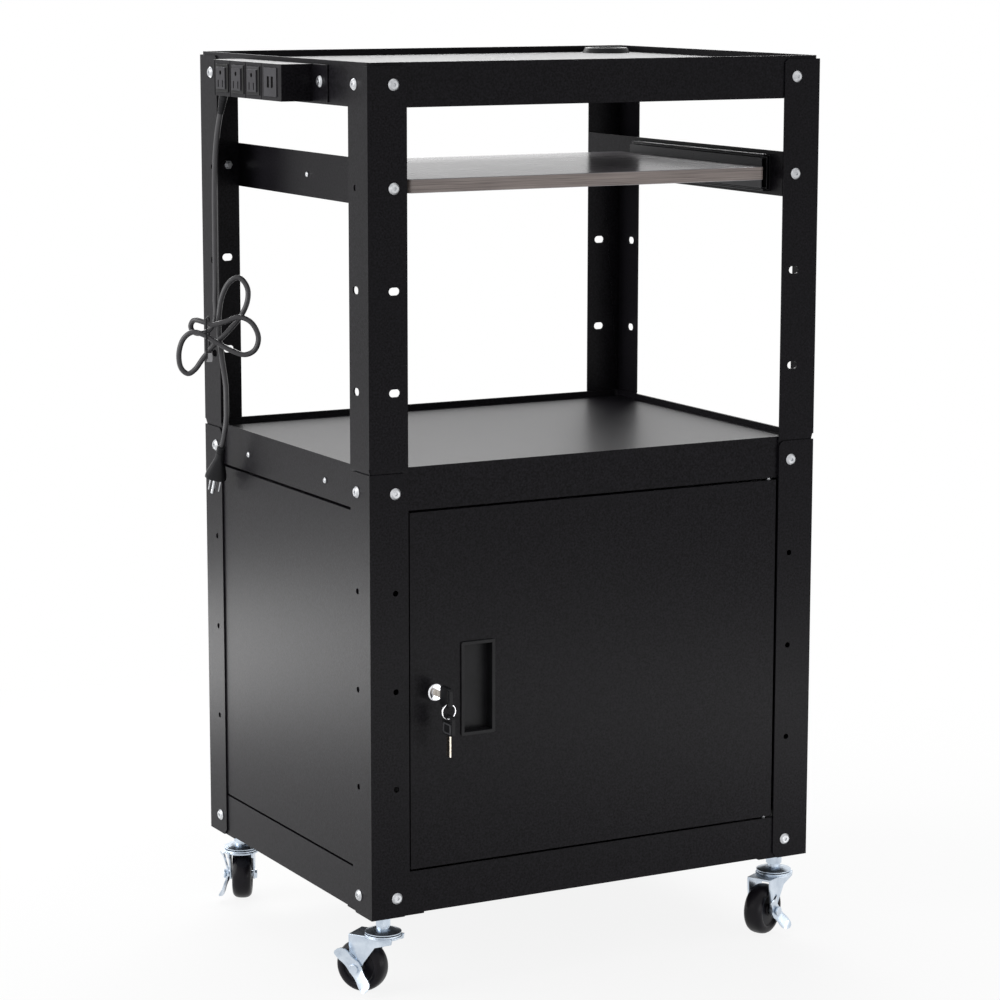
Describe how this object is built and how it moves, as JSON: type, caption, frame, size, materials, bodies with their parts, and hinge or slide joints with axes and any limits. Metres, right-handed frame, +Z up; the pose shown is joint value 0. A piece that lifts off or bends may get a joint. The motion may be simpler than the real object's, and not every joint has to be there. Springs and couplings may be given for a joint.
{
  "type": "projector cart",
  "caption": "Black steel projector cart with a pull-out shelf, a lockable cabinet, a power strip with a tied cord and braked swivel casters.",
  "frame": {"origin": "floor level under the middle of the whole cart, power strip included", "axes": "+X to the right seen from the front, +Y from the door to the back, +Z up"},
  "size_m": [0.6829, 0.5464, 1.098],
  "materials": {
    "black_coat": "black powder coat with a fine grain",
    "bolt_steel": "bright plated steel",
    "zinc": "bright zinc plating with a blue tint",
    "black_plastic": "satin",
    "wheel_rubber": "smooth black",
    "cord_rubber": "smooth black jacket",
    "board": "grey-brown laminate, satin",
    "slide_steel": "black zinc",
    "key_steel": "nickel plated",
    "lock_chrome": "polished",
    "pin_brass": "plain"
  },
  "bodies": {
    "root": {"top_tray": "black_coat", "middle_tray": "black_coat", "bottom_tray": "black_coat", "upper_leg_fl": "black_coat", "upper_leg_fr": "black_coat", "upper_leg_bl": "black_coat", "upper_leg_br": "black_coat", "lower_leg_fl": "black_coat", "lower_leg_fr": "black_coat", "lower_leg_bl": "black_coat", "lower_leg_br": "black_coat", "left_panel": "black_coat", "right_panel": "black_coat", "back_panel": "black_coat", "corner_plates": "black_coat", "frame_bolts": "bolt_steel", "frame_nuts": "bolt_steel", "panel_screws": "bolt_steel", "grommet": "black_plastic", "hinge_pins": "bolt_steel", "bracket_left": "black_coat", "bracket_right": "black_coat", "slide_outer_rails": "slide_steel", "slide_screws": "bolt_steel", "strip_housing": "black_coat", "strip_sockets": "black_plastic", "strip_usb": "black_plastic", "strip_bolts": "bolt_steel", "strain_relief": "black_plastic", "cord_drop": "cord_rubber", "cord_bow": "cord_rubber", "cord_tail": "cord_rubber", "cord_tie": "black_plastic", "plug_body": "black_plastic", "plug_pins": "pin_brass", "caster_stems": "zinc"},
    "door": {"door": "black_coat", "door_pull": "black_plastic", "lock_housing": "lock_chrome", "lock_nut": "bolt_steel"},
    "lock": {"lock_core": "lock_chrome", "lock_cam": "zinc", "key": "key_steel"},
    "key_bunch": {"key_ring": "key_steel", "spare_key": "key_steel"},
    "slide_mid": {"slide_middle_rails": "slide_steel"},
    "shelf": {"shelf_board": "board", "slide_inner_rails": "slide_steel"},
    "caster_fl": {"fork_fl": "zinc"},
    "roller_fl": {"wheel_fl": "wheel_rubber"},
    "lever_fl": {"brake_fl": "zinc"},
    "caster_fr": {"fork_fr": "zinc"},
    "roller_fr": {"wheel_fr": "wheel_rubber"},
    "lever_fr": {"brake_fr": "zinc"},
    "caster_bl": {"fork_bl": "zinc"},
    "roller_bl": {"wheel_bl": "wheel_rubber"},
    "lever_bl": {"brake_bl": "zinc"},
    "caster_br": {"fork_br": "zinc"},
    "roller_br": {"wheel_br": "wheel_rubber"},
    "lever_br": {"brake_br": "zinc"}
  },
  "joints": [
    {"name": "door_hinge", "type": "hinge", "parent": "root", "child": "door", "pos_m": [0.2639, -0.227, 0.366], "axis": [0, 0, 1], "range_deg": [0, 95]},
    {"name": "lock_turn", "type": "hinge", "parent": "door", "child": "lock", "pos_m": [-0.2011, -0.237, 0.366], "axis": [0, 1, 0], "range_deg": [0, 90]},
    {"name": "ring_swing", "type": "hinge", "parent": "lock", "child": "key_bunch", "pos_m": [-0.2011, -0.2678, 0.3582], "axis": [1, 0, 0], "range_deg": [-50, 20]},
    {"name": "shelf_slide", "type": "slide", "parent": "root", "child": "shelf", "axis": [0, -1, 0], "range_m": [0, 0.25]},
    {"name": "slide_mid_slide", "type": "slide", "parent": "root", "child": "slide_mid", "axis": [0, -1, 0], "range_m": [0, 0.125]},
    {"name": "swivel_fl", "type": "hinge", "parent": "root", "child": "caster_fl", "pos_m": [-0.2576, -0.207, 0.07], "axis": [0, 0, 1], "continuous": true},
    {"name": "roll_fl", "type": "hinge", "parent": "caster_fl", "child": "roller_fl", "pos_m": [-0.27366, -0.18406, 0.0315], "axis": [-0.8192, -0.5736, 0], "continuous": true},
    {"name": "brake_fl", "type": "hinge", "parent": "caster_fl", "child": "lever_fl", "pos_m": [-0.28939, -0.19508, 0.0315], "axis": [-0.4394, 0.6275, -0.6428], "range_deg": [0, 10]},
    {"name": "swivel_fr", "type": "hinge", "parent": "root", "child": "caster_fr", "pos_m": [0.2944, -0.207, 0.07], "axis": [0, 0, 1], "continuous": true},
    {"name": "roll_fr", "type": "hinge", "parent": "caster_fr", "child": "roller_fr", "pos_m": [0.26968, -0.22015, 0.0315], "axis": [0.4695, -0.8829, 0], "continuous": true},
    {"name": "brake_fr", "type": "hinge", "parent": "caster_fr", "child": "lever_fr", "pos_m": [0.27869, -0.2371, 0.0315], "axis": [-0.6764, -0.3596, -0.6428], "range_deg": [0, 10]},
    {"name": "swivel_bl", "type": "hinge", "parent": "root", "child": "caster_bl", "pos_m": [-0.2576, 0.207, 0.07], "axis": [0, 0, 1], "continuous": true},
    {"name": "roll_bl", "type": "hinge", "parent": "caster_bl", "child": "roller_bl", "pos_m": [-0.24489, 0.23195, 0.0315], "axis": [-0.891, 0.454, 0], "continuous": true},
    {"name": "brake_bl", "type": "hinge", "parent": "caster_bl", "child": "lever_bl", "pos_m": [-0.262, 0.24066, 0.0315], "axis": [0.3478, 0.6826, -0.6428], "range_deg": [0, 10]},
    {"name": "swivel_br", "type": "hinge", "parent": "root", "child": "caster_br", "pos_m": [0.2944, 0.207, 0.07], "axis": [0, 0, 1], "continuous": true},
    {"name": "roll_br", "type": "hinge", "parent": "caster_br", "child": "roller_br", "pos_m": [0.26809, 0.21658, 0.0315], "axis": [-0.342, -0.9397, 0], "continuous": true},
    {"name": "brake_br", "type": "hinge", "parent": "caster_br", "child": "lever_br", "pos_m": [0.26152, 0.19853, 0.0315], "axis": [-0.7198, 0.262, -0.6428], "range_deg": [0, 10]}
  ],
  "couplings": [
    {"joint": "slide_mid_slide", "follows": "shelf_slide", "ratio": 0.5}
  ]
}
